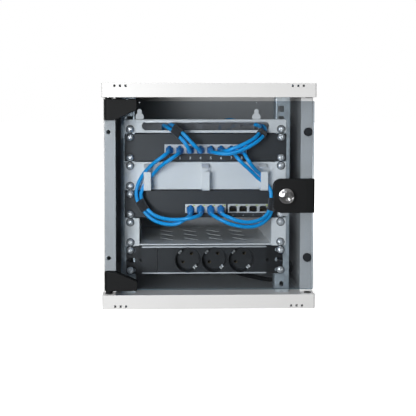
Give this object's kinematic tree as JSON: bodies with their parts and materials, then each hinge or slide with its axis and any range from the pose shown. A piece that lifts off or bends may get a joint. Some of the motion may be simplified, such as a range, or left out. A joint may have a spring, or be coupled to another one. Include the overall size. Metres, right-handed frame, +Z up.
{
  "type": "network server rack cabinet",
  "caption": "Small wall-mount network rack cabinet: light grey steel case, hinged tinted glass door with key lock, rack rails fitted with patch, cable, switch, shelf and socket panels.",
  "frame": {"origin": "centre of the underside of the case, without the lock that stands out in front", "axes": "+Z up, the glass door faces -Y, +X to the right when one looks at the door"},
  "size_m": [0.312, 0.308, 0.33],
  "materials": {
    "case_paint": "fine structured light grey powder coat",
    "back_paint": "light grey powder coat",
    "galvanised": "galvanised",
    "zinc": "zinc plated",
    "pivot_nylon": "matt",
    "rubber": "matt",
    "panel_paint": "light grey powder coat",
    "anodised": "anodised",
    "bristles": "nylon hair",
    "dark_paint": "anthracite powder coat",
    "white_plastic": "moulded",
    "board": "solder resist",
    "terminal_plastic": "moulded",
    "shield": "bright tinned",
    "black_plastic": "moulded",
    "spring_metal": "nickel plated",
    "black_paint": "black powder coat",
    "blue_jacket": "smooth PVC",
    "blue_boot": "moulded",
    "textile": "woven loop tape",
    "lead_jacket": "smooth PVC",
    "tinted_glass": "polished",
    "fitting_plastic": "fine grain",
    "pin_steel": "ground",
    "chrome": "polished"
  },
  "bodies": {
    "cabinet": {"top_cover": "case_paint", "bottom_cover": "case_paint", "left_side_panel": "case_paint", "right_side_panel": "case_paint", "back_panel": "back_paint", "left_mounting_rail": "galvanised", "right_mounting_rail": "galvanised", "rail_nuts": "zinc", "pivot_bushes": "pivot_nylon", "door_buffers": "rubber", "brush_panel": "panel_paint", "brush_holder": "anodised", "brush_bristles": "bristles", "patch_panel": "dark_paint", "patch_jacks": "white_plastic", "patch_board": "board", "patch_terminals": "terminal_plastic", "cable_manager_panel": "panel_paint", "cable_rings": "panel_paint", "switch_front": "dark_paint", "switch_case": "dark_paint", "switch_jacks": "shield", "switch_board": "board", "vented_shelf": "panel_paint", "pdu_profile": "anodised", "pdu_left_socket": "black_plastic", "pdu_middle_socket": "black_plastic", "pdu_right_socket": "black_plastic", "pdu_blank_inserts": "black_plastic", "pdu_earth_clips": "spring_metal", "pdu_left_bracket": "black_paint", "pdu_right_bracket": "black_paint", "pdu_strain_relief": "black_plastic", "rack_screws": "zinc", "cup_washers": "black_plastic", "cage_nuts": "zinc", "patch_cord_1": "blue_jacket", "patch_cord_2": "blue_jacket", "patch_cord_3": "blue_jacket", "patch_cord_4": "blue_jacket", "patch_cord_5": "blue_jacket", "patch_cord_6": "blue_jacket", "patch_cord_7": "blue_jacket", "patch_cord_8": "blue_jacket", "seated_plugs": "blue_boot", "loose_plugs": "blue_boot", "cord_sleeves": "textile", "mains_lead": "lead_jacket", "mains_coil": "lead_jacket", "mains_plug": "black_plastic"},
    "door": {"door_glass": "tinted_glass", "upper_hinge_fitting": "fitting_plastic", "lower_hinge_fitting": "fitting_plastic", "hinge_pins": "pin_steel", "lock_plate": "fitting_plastic", "lock_housing": "chrome", "lock_nut": "zinc"},
    "lock": {"lock_cylinder": "chrome", "lock_cam": "zinc", "cam_screw": "zinc"}
  },
  "joints": [
    {"name": "door_hinge", "type": "hinge", "parent": "cabinet", "child": "door", "pos_m": [-0.147, -0.139, 0.165], "axis": [0, 0, -1], "range_deg": [0, 180]},
    {"name": "lock_turn", "type": "hinge", "parent": "door", "child": "lock", "pos_m": [0.1136, -0.139, 0.165], "axis": [0, -1, 0], "range_deg": [0, 90]}
  ]
}
